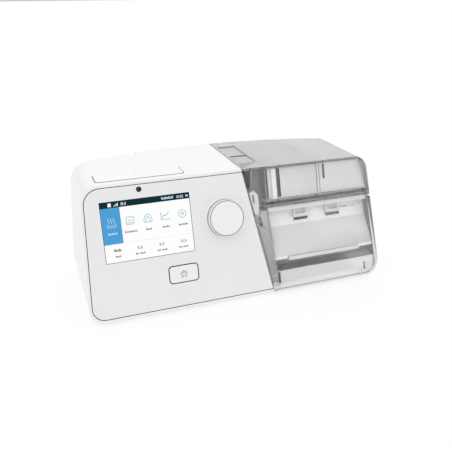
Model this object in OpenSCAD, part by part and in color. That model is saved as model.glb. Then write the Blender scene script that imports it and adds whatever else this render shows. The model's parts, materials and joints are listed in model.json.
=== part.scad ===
// Bedside positive-pressure ventilator with a plug-in heated humidifier tank.
// Millimetres. X runs to the right, Y to the rear and Z up. The origin is the middle of the
// outline's underside, on the surface that the rubber feet stand on.

/* [Casing] */
// Widest part of the machine, tank included
overall_w = 268; // [264:1:272]
// Front bottom edge to the tip of the air outlet
overall_d = 146; // [144:1:148]
// Height of the casing above its own underside
casing_h = 107; // [106.5:0.5:108]
// Height of the rubber feet
foot_h = 3; // [2.5:0.5:4]
// Wall of the white casing
wall = 2.5; // [2.2:0.1:2.8]
// Backward lean of the front face
front_lean = 16.2; // [15.5:0.1:17]
// Forward lean of the rear face
rear_lean = 10.6; // [10:0.1:11]
// Radius of the bowed rear face, seen from above
rear_bow_r = 380; // [370:5:400]
// Depth of the casing at its underside, at the crown of the bow
casing_d = 138; // [137:0.5:139]
// Draft of the left side
left_draft = 2.7; // [2.5:0.1:3]
// Draft of the right side
right_draft = 4.2; // [4:0.1:4.5]
// Lean of the seam between casing and tank
seam_lean = 11; // [10.5:0.1:11.5]
// Where the seam meets the underside
seam_foot_x = 26.2; // [25.5:0.1:27]
// Corner radius at the top left
top_r = 15.5; // [14:0.5:17]
// Corner radius at the bottom left
bottom_r = 12.5; // [11:0.5:13]

/* [Front panel] */
// Thickness of the front panel
panel_t = 3; // [2.6:0.1:3.4]
// Casing lip left showing at the side of the panel
lip_side = 2.3; // [2:0.1:3]
// Casing lip left showing above the panel
lip_top = 2.5; // [2:0.1:3]
// Casing lip left showing below the panel
lip_bottom = 3.6; // [3.2:0.1:4]
// Reveal line round the panel, the home button and the start button
reveal = 0.45; // [0.3:0.05:0.5]
// Visible width of the display
screen_w = 73.4; // [72:0.1:75]
// Visible height of the display
screen_h = 48.9; // [48:0.1:50]
// Radius of the control knob
knob_r = 15.7; // [15:0.1:16]
// How far the knob stands out of the panel
knob_out = 6; // [5.5:0.1:7]
// Width of the home button
home_w = 24.7; // [24:0.1:25.5]
// Height of the home button
home_h = 14.2; // [13.5:0.1:15]

/* [Start button] */
// Width of the start button on the top
start_w = 73; // [70:0.5:75]
// Depth of the start button
start_d = 20; // [18:0.5:21]

/* [Air path] */
// Outer radius of the air outlet
outlet_r = 11; // [11:0.1:11.2]
// Bore radius of the air outlet
outlet_bore_r = 9.3; // [9:0.1:9.5]
// Radius of the air ports between casing and tank
port_r = 7.5; // [7:0.1:8]
// Outer radius of the blower case
blower_r = 34; // [33:0.5:34]
// Radius of the impeller
impeller_r = 27; // [25:0.5:28]
// Number of impeller blades
blades = 11; // [7:1:15]

/* [Humidifier tank] */
// Wall of the clear tank
clear_wall = 2.4; // [2.2:0.1:2.6]
// Height of the tank's parting line
parting_z = 70.5; // [70:0.5:71]
// Corner radius at the top right
tank_top_r = 12; // [11:0.5:13]
// Corner radius at the bottom right
tank_bottom_r = 13; // [12:0.5:14]
// Right edge of the clear pillar beside the seam, at the underside
pocket_foot_x = 32; // [31:0.5:33]
// Width of the clear rim down the right side
rim_w = 3.4; // [3:0.1:4]

/* [Hidden] */
$fn = 48;
fine = 96;
far = 400;
gap = 0.25;
seam_gap = 0.4;

// Knob, home button, sensor and screen, as distance across and distance up the panel
knob_at = [-13.5, 72.5];
screen_at = [-79.4, 73.2];
home_at = [-54.1, 30.9];
sensor_at = [-83.5, 105];
start_at = [-79.4, 48.2];
board_depth = 13;
board_t = 1.6;
pillar_r = 3.2;

// Air path
blower_at = [-62, 78];
blower_floor_z = 9;
blower_split_z = 26;
blower_top_z = 50;
nozzle_y = 59;
nozzle_z = 38;
riser_x = -10;
port_z = 86;
inlet_y = 59;
outlet_y = 87;
outlet_x = -12;
duct_r = 10;
outlet_flange_y = 112;
outlet_cone_y = 124.2;
muffler_low = [-98, 60, 56];
muffler_high = [-40, 100, 90];
door_low = [-98, 57];
door_high = [-46, 89];

// Sockets in the rear face
dc_at = [-105, 20];
sd_at = [-5, 19];
card_w = 24;
card_l = 32;
card_t = 2.1;

// Base and dock
base_t = 3;
base_left_x = -106;
base_right_x = 112;
base_front_y = 8;
base_rear_inset = 11.5;
dock_x = 40;
rail_h = 1.2;
screw_r = 1.5;
heater_low = [44, 36];
heater_size = [56, 62];

// Tub
tank_floor_z = 4.5;
lip_z = 28.6;
lip_t = 3.3;
lip_recess = 1.2;
bead_x = [42.5, 115];
bead_out = 1.1;
grip_z = 17.3;
crease_z = 52.4;
band_recess = 8.2;
face_recess = 1.3;
pocket_draft = 4.3;
rim_inner = 13;
rim_low = 1.8;
slots = [[31.4, 33.8, 5.5, 16], [119.2, 120.6, 4.5, 11.7]];
slot_deep = 1.1;
tongue_low_z = 68;
tongue_high_z = 88;
tongue_right_x = 18.5;
tongue_t = 2.2;

// Lid
seal_t = 1.75;
lid_low_z = parting_z + 2;
flange_high_z = lid_low_z + 6.1;
skirt_low_z = parting_z - 2.5;
skirt_recess = 1.8;
lid_recess = 2.3;
bay_recess = 10;
lid_top_t = 2.2;
bay_right_x = 27;
chamber_left_x = 41.8;
bay_rib_x = 33;
bay_rib_w = 4.2;
mid_wall_x = 77.8;
windows_y = [[47.5, 70], [71.5, 102]];
// Left, right, low and high side
window_grooves = [[27.9, 29.5, 79.5, 103.8], [37.9, 41.3, 79.5, 103.8], [77, 77.5, 79.5, 103.8],
    [79.7, 80.2, 79.5, 103.8], [83.5, 85.4, 90.3, 103.2]];
// Left, right, low and high side, the last two above the lid's underside
flange_grooves = [[34, 120, 0.4, 0.9], [34, 120, 4.6, 5.1], [28.8, 33, 0.6, 1.3], [28.8, 33, 2.6, 3.3],
    [28.8, 33, 4.6, 5.3], [121, 126.4, 0.5, 1.2], [121, 125, 2.4, 3.1], [125.4, 126.4, 1.9, 5.4]];
hinge_y = 126.2;
hinge_z = parting_z + 1;
hinge_r = 2.6;
pin_r = 1.2;
hinge_x = [26, 66];

// Clips, by their recess behind the front plane
clip_x = [52.6, 85.2];
clip_w = 13.6;
clip_z = skirt_low_z + 1.8;
clip_recess = 5.2;
clip_bar_z = 61;
clip_rod_r = 0.8;
catch_z = 57;
catch_shift = 1.5;
catch_slot_h = 1.6;

// Half width at the underside that puts the widest point of a drafted side, rounded by r, at half
function foot_x(half, r, draft) = half + r * (tan(draft) + 1 / cos(draft) - 1);
function left_x(z) = z * tan(left_draft) - foot_x(overall_w / 2, bottom_r, left_draft);
function right_x(z) = foot_x(overall_w / 2, tank_bottom_r, right_draft) - z * tan(right_draft);
function seam_x(z) = seam_foot_x - z * tan(seam_lean);
function front_y(z) = z * tan(front_lean);
function rear_y(x, z) = casing_d - (x - bow_x) * (x - bow_x) / 2 / rear_bow_r - z * tan(rear_lean);
function slope(z) = z / cos(front_lean);
function recessed_y(z, recess) = front_y(z) + recess / cos(front_lean);
function pocket_x(z) = pocket_foot_x - z * tan(pocket_draft);
bow_x = -2;

// Corner i of the outline pts, rounded by r with straight steps
function unit(v) = v / norm(v);
function corner(a, b, c, r, steps = 8) =
    r <= 0 ? [b] :
    let (u = unit(a - b), v = unit(c - b), half = acos(u * v) / 2, middle = b + unit(u + v) * r / sin(half),
         from = b + u * r / tan(half) - middle, to = b + v * r / tan(half) - middle, sweep = 180 - 2 * half)
    [for (i = [0 : steps]) middle + (from * sin(sweep * (1 - i / steps)) + to * sin(sweep * i / steps)) / sin(sweep)];
function rounded(pts, radii, steps = 8) =
    let (n = len(pts))
    [for (i = [0 : n - 1]) each corner(pts[(i + n - 1) % n], pts[i], pts[(i + 1) % n], radii[i], steps)];
function box_outline(w, h, r) =
    rounded([[-w / 2, -h / 2], [w / 2, -h / 2], [w / 2, h / 2], [-w / 2, h / 2]], [r, r, r, r], 6);

module place() {
    translate([0, -overall_d / 2, foot_h]) children();
}

// Local Z out of the front face, local Y up the face; at = [across, up]
module on_panel(at, out = 0) {
    translate([at[0], at[1] * sin(front_lean), at[1] * cos(front_lean)])
        rotate([90 - front_lean, 0, 0]) translate([0, 0, out]) children();
}

// A front view outline in X and Z, drawn through the whole depth
module through_y(pts) {
    translate([0, far / 2, 0]) rotate([90, 0, 0]) linear_extrude(far) polygon(pts);
}

// A side view outline in Y and Z, from x0 to x1
module through_x(pts, x0, x1) {
    translate([x0, 0, 0]) rotate([90, 0, 90]) linear_extrude(x1 - x0) polygon(pts);
}

module behind_front(inset = 0) {
    rotate([-front_lean, 0, 0]) translate([-far / 2, inset, -far / 4]) cube([far, far, far]);
}

// Everything between two recesses behind the front plane
module front_layer(from, to) {
    difference() {
        behind_front(from);
        behind_front(to);
    }
}

module ahead_of_rear(inset = 0) {
    rotate([rear_lean, 0, 0])
        translate([bow_x, casing_d * cos(rear_lean) - rear_bow_r, -far / 4])
            cylinder(r = rear_bow_r - inset, h = far, $fn = 480);
}

// Everything on the tank's side of the seam; shift moves the seam plane to the right
module right_of_seam(shift = 0) {
    translate([seam_foot_x + shift / cos(seam_lean), -far / 2, 0])
        rotate([0, -seam_lean, 0]) translate([0, 0, -far / 4]) cube([far, far, far]);
}

function casing_outline(i) =
    let (side = i / cos(left_draft), seam = i / cos(seam_lean), low = i, high = casing_h - i)
    rounded([[left_x(low) + side, low], [seam_x(low) - seam, low],
             [seam_x(high) - seam, high], [left_x(high) + side, high]],
            [bottom_r - i, 0, 0, top_r - i]);

module casing_solid(i = 0) {
    intersection() {
        through_y(casing_outline(i));
        behind_front(i);
        ahead_of_rear(i);
    }
}

// Outline of the front panel, grown by g; past carries it beyond the seam
function panel_outline(g, past = 0) =
    let (low = lip_bottom - g, high = casing_h - lip_top + g, over = past - gap)
    rounded([[left_x(low) + lip_side - g, slope(low)], [seam_x(low) + over, slope(low)],
             [seam_x(high) + over, slope(high)], [left_x(high) + lip_side - g, slope(high)]],
            [10 + g, 0, 0, 13 + g]);

// ---- Casing ----

module base_opening(g) {
    intersection() {
        translate([base_left_x - g, base_front_y - g, -1]) cube([far, far, base_t + 1.3]);
        ahead_of_rear(base_rear_inset - g);
        translate([-far / 2, -far / 2, -1]) cube([far / 2 + dock_x, far, far]);
    }
}

module rear_hole(x, z, w, h) {
    translate([x - w / 2, 100, z - h / 2]) cube([w, 60, h]);
}

module port_cutter(y, r) {
    translate([-40, y, port_z]) rotate([0, 90, 0]) cylinder(r = r, h = 80);
}

module housing_shell() color("white") {
    difference() {
        casing_solid();
        casing_solid(wall);
        on_panel([0, 0], -panel_t - 0.2) linear_extrude(panel_t + 2) polygon(panel_outline(reveal, 9));
        base_opening(gap);
        translate([start_at[0], start_at[1], casing_h - 10])
            linear_extrude(20) polygon(box_outline(start_w + 2 * reveal, start_d + 2 * reveal, 3.2));
        rear_hole((door_low[0] + door_high[0]) / 2, (door_low[1] + door_high[1]) / 2,
                  door_high[0] - door_low[0] + 2 * gap, door_high[1] - door_low[1] + 2 * gap);
        translate([outlet_x, 100, port_z]) rotate([-90, 0, 0]) cylinder(r = outlet_r + 0.3, h = 60, $fn = fine);
        translate([dc_at[0], 100, dc_at[1]]) rotate([-90, 0, 0]) cylinder(r = 5.8, h = 60);
        rear_hole(sd_at[0], sd_at[1], card_w + 1.6, card_t + 1.2);
        port_cutter(inlet_y, port_r + 2.5);
        port_cutter(outlet_y, port_r + 2.5);
        translate([-74, 108, casing_h - 2]) cube([4.5, 10, 5]);
        for (p = screw_points) translate([p[0], p[1], -1]) {
            cylinder(r = screw_r + 0.2, h = 10);
            cylinder(r = 3.1, h = 2.4);
        }
    }
    panel_ledge();
    intersection() {
        for (x = [-42, 42]) translate([start_at[0] + x, 48.5, 93]) cylinder(r = 2.6, h = 20);
        casing_solid(wall / 2);
    }
}

// Ring behind the front panel that the panel rests on
module panel_ledge() {
    intersection() {
        on_panel([0, 0], -panel_t - 2.2) linear_extrude(2) difference() {
            polygon(panel_outline(reveal + 0.5));
            polygon(panel_outline(-3));
        }
        casing_solid(0.5);
    }
}

module base_plate() color("white") {
    difference() {
        union() {
            intersection() {
                translate([base_left_x, base_front_y, 0]) cube([dock_x - base_left_x, far, base_t]);
                ahead_of_rear(base_rear_inset);
            }
            intersection() {
                translate([seam_foot_x + 0.4, base_front_y, 0])
                    cube([base_right_x - seam_foot_x - 0.4, far, base_t]);
                ahead_of_rear(0.5);
            }
            for (x = [35, 107]) translate([x, base_front_y + 4, base_t - 0.5]) cube([2.5, 90, rail_h + 0.5]);
            for (p = screw_points) screw_lug(p);
        }
        translate([heater_low[0], heater_low[1], 0.8]) cube([heater_size[0], heater_size[1], 10]);
        for (p = screw_points) translate([p[0], p[1], -1]) cylinder(r = screw_r, h = 10);
    }
}
screw_points = [[-113, 40], [-113, 80], [-60, 126.3], [-10, 130.3]];
foot_points = [[-113, 20], [-113, 100], [-8, 110], [100, 20], [98, 104], [12, 20]];

// Lug that lies on the casing floor and takes a screw; the side lugs reach left and the others back
module screw_lug(p) {
    side = p[0] < base_left_x;
    translate([p[0] - 4, side ? p[1] - 4 : p[1] - 8, wall + 0.1])
        cube([side ? 16 : 8, side ? 8 : 10.6, 2]);
}

module rubber_feet() color("dimgray") {
    for (p = foot_points) translate([p[0], p[1], -foot_h]) cylinder(r = 6, h = foot_h);
}

module base_screws() color("silver") {
    for (p = screw_points) translate([p[0], p[1], 0.15]) {
        cylinder(r = screw_r, h = 4.3);
        cylinder(r = 2.8, h = 1.2);
    }
}

// ---- Front panel ----

module front_panel() color("whitesmoke") {
    difference() {
        on_panel([0, 0], -panel_t) linear_extrude(panel_t) difference() {
            polygon(panel_outline(0));
            translate(screen_at) polygon(box_outline(screen_w + 0.2, screen_h + 0.2, 0.6));
            translate(home_at) polygon(box_outline(home_w + 2 * reveal, home_h + 2 * reveal, 3.2));
            translate(knob_at) circle(r = 5);
            translate(sensor_at) circle(r = 2.1);
        }
        right_of_seam(-0.05);
    }
    for (p = board_screw_points) on_panel(p, -board_depth) difference() {
        cylinder(r = pillar_r, h = board_depth - panel_t + 0.1);
        translate([0, 0, -1]) cylinder(r = screw_r, h = 6);
    }
}

module display_window() color([0.2, 0.3, 0.35]) {
    on_panel(screen_at, -1.2) linear_extrude(1.2) polygon(box_outline(screen_w, screen_h, 0.5));
}

module lcd_module() color("darkslategray") {
    on_panel(screen_at, -8.5) {
        linear_extrude(5.3) polygon(box_outline(80, 56, 1));
        linear_extrude(7.3) polygon(box_outline(screen_w - 0.4, screen_h - 0.4, 0.5));
    }
}

module light_sensor_lens() color("black") {
    on_panel(sensor_at, -panel_t) cylinder(r = 2, h = panel_t + 0.1);
}

module knob_collar() color("white") {
    on_panel(knob_at, 0) difference() {
        cylinder(r1 = knob_r + 1.9, r2 = knob_r + 1.4, h = 0.9, $fn = fine);
        translate([0, 0, -1]) cylinder(r = knob_r + 0.4, h = 4, $fn = fine);
    }
}

module control_knob() color("white") {
    on_panel(knob_at, 0.8) difference() {
        cylinder(r = knob_r, h = knob_out - 0.8, $fn = fine);
        translate([0, 0, -1]) difference() {
            cylinder(r = knob_r - 2.2, h = knob_out - 2);
            cylinder(r = 5, h = knob_out);
        }
        translate([0, 0, -1]) cylinder(r = 3, h = 4.2);
    }
}

module encoder_shaft() color("silver") {
    on_panel(knob_at, -11.8) cylinder(r = 3, h = 11.8 + 3.9);
}

module encoder_plunger() color("black") {
    on_panel(knob_at, -12.3) cylinder(r = 2.8, h = 0.4);
}

module encoder_body() color("gray") {
    on_panel(knob_at, -board_depth) difference() {
        translate([-6, -6, 0]) cube([12, 12, 6.5]);
        translate([0, 0, 0.1]) cylinder(r = 3.05, h = 10);
    }
}

module home_button() color("whitesmoke") {
    on_panel(home_at, -4.6) {
        linear_extrude(4.75) polygon(box_outline(home_w, home_h, 2.8));
        linear_extrude(1.4) polygon(box_outline(home_w + 3, home_h + 3, 3));
        translate([0, 0, -4.2]) cylinder(r = 2, h = 4.3);
    }
}

module tact_switch(h) {
    translate([-3, -3, 0]) cube([6, 6, h]);
}

module home_switch() color("black") {
    on_panel(home_at, -board_depth) tact_switch(3.2);
}

module main_board() color("seagreen") {
    on_panel([0, 0], -board_depth - board_t) difference() {
        linear_extrude(board_t) polygon([[-118, 12], [2, 12], [2, 92], [-118, 92]]);
        for (p = board_screw_points) translate([p[0], p[1], -1]) cylinder(r = screw_r + 0.1, h = 5);
    }
}
board_screw_points = [[-113, 17], [-113, 39], [-3, 17], [-3, 87]];

module board_screws() color("silver") {
    for (p = board_screw_points) on_panel(p, -board_depth - board_t - 1.8) {
        cylinder(r = screw_r, h = 7.5);
        cylinder(r = 2.8, h = 1.8);
    }
}

module board_components() color("black") {
    for (c = [[-95, 30, 14, 14, 1.6], [-70, 60, 18, 12, 2.4], [-40, 34, 10, 10, 1.6], [-20, 52, 8, 16, 5],
              [-105, 66, 9, 20, 5.5], [-60, 26, 22, 7, 6], [-34, 74, 12, 9, 3]])
        on_panel([c[0], c[1]], -board_depth - board_t - c[4])
            translate([-c[2] / 2, -c[3] / 2, 0]) cube([c[2], c[3], c[4]]);
}

// ---- Start button ----

module start_button() color("white") {
    translate([start_at[0], start_at[1], 0]) {
        translate([0, 0, casing_h - 4.2]) linear_extrude(4.4) polygon(box_outline(start_w, start_d, 2.8));
        translate([0, 0, casing_h - 4.2]) linear_extrude(1.4) polygon(box_outline(start_w + 3, start_d + 3, 3));
        for (x = [-20, 20]) translate([x, 0, 98.5]) cylinder(r = 2, h = 4.5);
    }
}

module start_switch_board() color("seagreen") {
    translate([start_at[0], 48.5, 91.5]) {
        translate([-45, -5.5, 0]) cube([90, 11, 1.5]);
        for (x = [-20, 20]) translate([x, 0, 1.5]) tact_switch(3.9);
    }
}

module speaker() color("black") {
    translate([left_x(32) + wall / cos(left_draft) + 0.05, 62, 32]) rotate([0, 90 + left_draft, 0]) difference() {
        cylinder(r = 13, h = 5);
        translate([0, 0, 2.5]) cylinder(r = 9, h = 5);
    }
}

// ---- Blower ----

module blower_nozzle(r) {
    translate([blower_at[0], nozzle_y, nozzle_z]) rotate([0, 90, 0]) cylinder(r = r, h = 40);
}

module blower_lower_case() color("gainsboro") {
    translate([blower_at[0], blower_at[1], blower_floor_z]) difference() {
        cylinder(r = blower_r, h = blower_split_z - blower_floor_z, $fn = fine);
        translate([0, 0, 2]) cylinder(r = blower_r - 2, h = 40, $fn = fine);
    }
    translate([blower_at[0], blower_at[1], blower_floor_z + 1]) cylinder(r = 6, h = 3);
}

module blower_upper_case() color("gainsboro") {
    h = blower_top_z - blower_split_z - 0.2;
    difference() {
        union() {
            translate([blower_at[0], blower_at[1], blower_split_z + 0.2]) {
                cylinder(r = blower_r, h = h, $fn = fine);
                cylinder(r = 15, h = muffler_low[2] - blower_split_z - 0.2);
            }
            blower_nozzle(duct_r);
        }
        translate([blower_at[0], blower_at[1], blower_split_z - 1]) {
            cylinder(r = blower_r - 2, h = h - 0.8, $fn = fine);
            cylinder(r = 13, h = 60);
        }
        blower_nozzle(duct_r - 2);
        translate([-23, nozzle_y, nozzle_z]) rotate([0, 90, 0]) cylinder(r = duct_r - 2, h = 10);
    }
}

module blower_mounts() color("dimgray") {
    for (a = [30 : 120 : 270]) translate([blower_at[0] + 25 * cos(a), blower_at[1] + 25 * sin(a), base_t])
        cylinder(r = 5, h = blower_floor_z - base_t);
}

module motor_stator() color("sienna") {
    translate([blower_at[0], blower_at[1], 13]) difference() {
        cylinder(r = 12, h = 10);
        translate([0, 0, -1]) cylinder(r = 4.5, h = 20);
    }
}

module motor_bearings() color("silver") {
    for (z = [13.4, 20]) translate([blower_at[0], blower_at[1], z]) difference() {
        cylinder(r = 4.5, h = 2.6);
        translate([0, 0, -1]) cylinder(r = 1.55, h = 5);
    }
}

module motor_rotor() color("silver") {
    translate([blower_at[0], blower_at[1], 0]) {
        translate([0, 0, 13.1]) cylinder(r = 1.5, h = 27);
        difference() {
            translate([0, 0, 13]) cylinder(r = 15, h = 12.6);
            translate([0, 0, 12]) cylinder(r = 13, h = 12);
        }
    }
}

module impeller() color("ivory") {
    translate([blower_at[0], blower_at[1], 0]) {
        difference() {
            union() {
                translate([0, 0, 28]) cylinder(r = impeller_r, h = 1.6, $fn = fine);
                translate([0, 0, 28]) cylinder(r = 6, h = 12.5);
            }
            translate([0, 0, 27]) cylinder(r = 1.5, h = 20);
        }
        for (i = [0 : blades - 1]) rotate([0, 0, i * 360 / blades])
            translate([9, 0, 29]) rotate([0, 0, 28]) cube([16.5, 1.2, 11]);
    }
}

// ---- Intake ----

module muffler_block(i) {
    translate(muffler_low + [i, i, i]) cube(muffler_high - muffler_low - 2 * [i, i, i]);
}

module intake_muffler() color("gainsboro") {
    difference() {
        muffler_block(0);
        muffler_block(2);
        translate([blower_at[0], blower_at[1], 50]) cylinder(r = 15.3, h = 12);
        translate([-94, 90, 61]) cube([44, 20, 24]);
    }
}

module muffler_foam() color("dimgray") {
    translate(muffler_low + [2, 2, 2]) cube([14, 36, 30]);
}

module air_filter() color("lightgray") {
    translate([-95, muffler_high[1], 59]) cube([46, 5.7, 28]);
}

module filter_door() color("white") {
    difference() {
        intersection() {
            difference() {
                casing_solid();
                casing_solid(2);
            }
            translate([door_low[0], 90, door_low[1]])
                cube([door_high[0] - door_low[0], 60, door_high[1] - door_low[1]]);
        }
        for (i = [0 : 5]) translate([-92 + 7 * i, 90, 63]) cube([3, 60, 20]);
    }
}

// ---- Ducts ----

module elbow_duct(r) {
    translate([-22, nozzle_y, nozzle_z]) rotate([0, 90, 0]) cylinder(r = r, h = riser_x + 22);
    translate([riser_x, nozzle_y, nozzle_z]) sphere(r = r);
    translate([riser_x, nozzle_y, nozzle_z]) cylinder(r = r, h = port_z - nozzle_z);
    translate([riser_x, nozzle_y, port_z]) sphere(r = r);
    translate([riser_x, inlet_y, port_z]) rotate([0, 90, 0]) cylinder(r = r, h = 40);
}

module blower_duct() color("gainsboro") {
    difference() {
        elbow_duct(duct_r);
        elbow_duct(duct_r - 2);
        translate([-23, nozzle_y, nozzle_z]) rotate([0, 90, 0]) cylinder(r = duct_r - 2, h = 5);
        right_of_seam(-wall);
    }
}

module return_pipe(r) {
    translate([outlet_x, outlet_y, port_z]) rotate([0, 90, 0]) cylinder(r = r, h = 40);
    translate([outlet_x, outlet_y, port_z]) sphere(r = r);
    translate([outlet_x, outlet_y, port_z]) rotate([-90, 0, 0]) cylinder(r = r, h = outlet_flange_y - outlet_y);
}

module return_duct() color("gainsboro") {
    difference() {
        return_pipe(duct_r);
        return_pipe(duct_r - 1.5);
        translate([outlet_x, outlet_flange_y - 3, port_z]) rotate([-90, 0, 0]) cylinder(r = duct_r - 1.5, h = 9);
        right_of_seam(-wall);
    }
}

module flow_sensor() color("black") {
    translate([outlet_x - 6, 94, port_z + duct_r]) cube([12, 12, 4.5]);
}

module air_outlet() color("white") {
    translate([outlet_x, outlet_flange_y, port_z]) rotate([-90, 0, 0]) difference() {
        union() {
            cylinder(r = outlet_r - 0.2, h = 20, $fn = fine);
            translate([0, 0, outlet_cone_y - outlet_flange_y])
                cylinder(r = outlet_r, h = overall_d - outlet_cone_y, $fn = fine);
            cylinder(r = outlet_r + 2.6, h = 2.2, $fn = fine);
        }
        translate([0, 0, -1]) cylinder(r = outlet_bore_r, h = 60, $fn = fine);
    }
}

// Silicone ring in the casing wall that the tank's port presses against
module port_gasket(y) {
    difference() {
        port_cutter(y, port_r + 2.5);
        port_cutter(y, port_r);
        right_of_seam(0.15);
        difference() {
            translate([-100, 0, 0]) cube([200, 200, 200]);
            right_of_seam(-wall);
        }
    }
}

module inlet_gasket() color("lightgray") {
    port_gasket(inlet_y);
}

module outlet_gasket() color("lightgray") {
    port_gasket(outlet_y);
}

// ---- Heater and sockets ----

module heater_insulator() color("gray") {
    translate([heater_low[0] + gap, heater_low[1] + gap, 0.8])
        cube([heater_size[0] - 2 * gap, heater_size[1] - 2 * gap, 1.6]);
}

module heater_plate() color("silver") {
    translate([heater_low[0] + gap, heater_low[1] + gap, 2.4])
        cube([heater_size[0] - 2 * gap, heater_size[1] - 2 * gap, 1.9]);
}

module dc_inlet() color("black") {
    translate([dc_at[0], 106, dc_at[1]]) {
        difference() {
            union() {
                translate([-6, -3, -6]) cube([12, 11, 12]);
                translate([-4, -3, base_t - dc_at[1]]) cube([8, 5, dc_at[1] - base_t]);
                rotate([-90, 0, 0]) cylinder(r = 5.5, h = 15.5);
            }
            translate([0, 4, 0]) rotate([-90, 0, 0]) cylinder(r = 3.2, h = 20);
        }
        translate([0, 3, 0]) rotate([-90, 0, 0]) cylinder(r = 1, h = 10);
    }
}

module sd_socket() color("silver") {
    translate([sd_at[0], 98.5, sd_at[1]]) difference() {
        union() {
            translate([-15, 0, -2.5]) cube([30, 31.5, 5]);
            for (x = [-15, 12]) translate([x, 2, base_t - sd_at[1]]) cube([3, 22, sd_at[1] - base_t]);
        }
        translate([-card_w / 2 - 0.3, 3, -card_t / 2 - 0.3]) cube([card_w + 0.6, 40, card_t + 0.6]);
    }
}

module sd_card() color("black") {
    translate([sd_at[0] - card_w / 2, 102, sd_at[1] - card_t / 2]) cube([card_w, card_l, card_t]);
}

// ---- Humidifier tank ----

function tank_outline(i, low, high) =
    let (side = i / cos(right_draft), seam = (seam_gap + i) / cos(seam_lean))
    rounded([[seam_x(low) + seam, low], [right_x(low) - side, low],
             [right_x(high) - side, high], [seam_x(high) + seam, high]],
            [0, low < 3 ? tank_bottom_r - i : 0, high > 100 ? tank_top_r - i : 0, 0]);

module tank_solid(i, low, high) {
    intersection() {
        through_y(tank_outline(i, low, high));
        behind_front(i);
        ahead_of_rear(i);
    }
}

// Front of the tub seen from the side: lower face, finger grip, lip, ramp, crease and upper band.
// i = 0 gives the outside and i = 1 the inside.
function tub_front(i) =
    let (w = i * clear_wall)
    concat([[recessed_y(-1, face_recess + w), -1],
            [recessed_y(grip_z - w, face_recess + w), grip_z - w],
            [front_y(grip_z) + 12 + w, grip_z - w],
            [front_y(lip_z) + 11 + w, lip_z - lip_t + w * 0.4]],
           [[recessed_y(lip_z, lip_recess + 4 * w), lip_z - lip_t + w * 0.4],
            [recessed_y(lip_z, lip_recess + 4 * w), lip_z + w * 0.2],
            [recessed_y(crease_z, band_recess + w), crease_z]],
           i == 0 ? [[recessed_y(parting_z + 5, band_recess), parting_z + 5]] :
                    [[recessed_y(parting_z - 6, band_recess + w), parting_z - 6],
                     [recessed_y(parting_z - 3, rim_inner), parting_z - 3],
                     [recessed_y(parting_z + 5, rim_inner), parting_z + 5]]);

// The pocket's outline in the front view, between the pillar and the rim
function pocket_outline(g, low, high) =
    rounded([[pocket_x(low) + g, low], [right_x(low) - rim_w - g, low],
             [right_x(high) - rim_w - g, high], [pocket_x(high) + g, high]],
            [0, low < 10 ? tank_bottom_r - rim_w : 0, 0, 0]);

// Space in front of the recessed part of the tub
module tub_front_space() {
    intersection() {
        through_x(rounded(concat([[-30, -1]], tub_front(0), [[-30, parting_z + 5]]),
                          [0, 0, 1, 2, 1.5, 1, 1, 0, 0, 0], 4), 0, overall_w / 2);
        through_y(pocket_outline(0, rim_low, parting_z + 4));
    }
    for (s = slots) front_box(s[0], s[1], s[2], s[3], -5, face_recess + slot_deep);
    for (x = clip_x) front_box(x + catch_shift, x + clip_w + catch_shift, catch_z - catch_slot_h, catch_z,
                               0, band_recess + slot_deep);
}

// A box between two recesses behind the front plane, by its outline in the front view
module front_box(x0, x1, z0, z1, from, to) {
    intersection() {
        through_y([[x0, z0], [x1, z0], [x1, z1], [x0, z1]]);
        front_layer(from, to);
    }
}

// Bead along the middle of the lip
module lip_bead() {
    low = lip_z - lip_t;
    intersection() {
        front_layer(lip_recess - bead_out, lip_recess + 3);
        through_y(rounded([[bead_x[0], low], [bead_x[1], low], [bead_x[1], lip_z], [bead_x[0], lip_z]],
                          [1.5, 1.5, 1.5, 1.5], 5));
    }
}

module tub_water_space() {
    intersection() {
        tank_solid(clear_wall, tank_floor_z + clear_wall, parting_z + 5);
        through_x(concat(tub_front(1), [[far, parting_z + 5], [far, -1]]), 0, overall_w / 2);
        through_y([[pocket_x(-1) + clear_wall + 3, -1], [far / 2, -1], [far / 2, 90], [pocket_x(90) + clear_wall + 3, 90]]);
    }
    intersection() {
        tank_solid(clear_wall, tank_floor_z + clear_wall, parting_z + 5);
        behind_front(rim_inner - 0.5);
        through_y([[0, -1], [pocket_x(-1) + 10, -1], [pocket_x(90) + 10, 90], [0, 90]]);
    }
    pillar_hollow();
}

// The water also stands inside the pillar, below the lock tongue
module pillar_hollow() {
    intersection() {
        tank_solid(clear_wall, tank_floor_z + clear_wall, 54);
        front_layer(clear_wall, rim_inner + 1);
        through_y([[0, -1], [pocket_x(-1) - clear_wall, -1], [pocket_x(90) - clear_wall, 90], [0, 90]]);
    }
}

// Room for the lock tongue in the top of the pillar, and the slanted hole below it
module tongue_space() {
    intersection() {
        through_y([[seam_x(tongue_low_z) + 1.3, tongue_low_z - gap], [tongue_right_x + 0.4, tongue_low_z - gap],
                   [tongue_right_x + 0.4, parting_z + 1], [seam_x(parting_z) - 2, parting_z + 1],
                   [seam_x(parting_z) - 2, parting_z - 1.5], [seam_x(tongue_low_z) + 1.3, parting_z - 1.5]]);
        front_layer(-5, 6);
    }
    intersection() {
        through_y([[seam_x(57.5) + 2, 57.5], [seam_x(57.5) + 6, 57.5], [seam_x(66.5) + 6, 66.5], [seam_x(66.5) + 2, 66.5]]);
        front_layer(-5, 7);
    }
}

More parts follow.
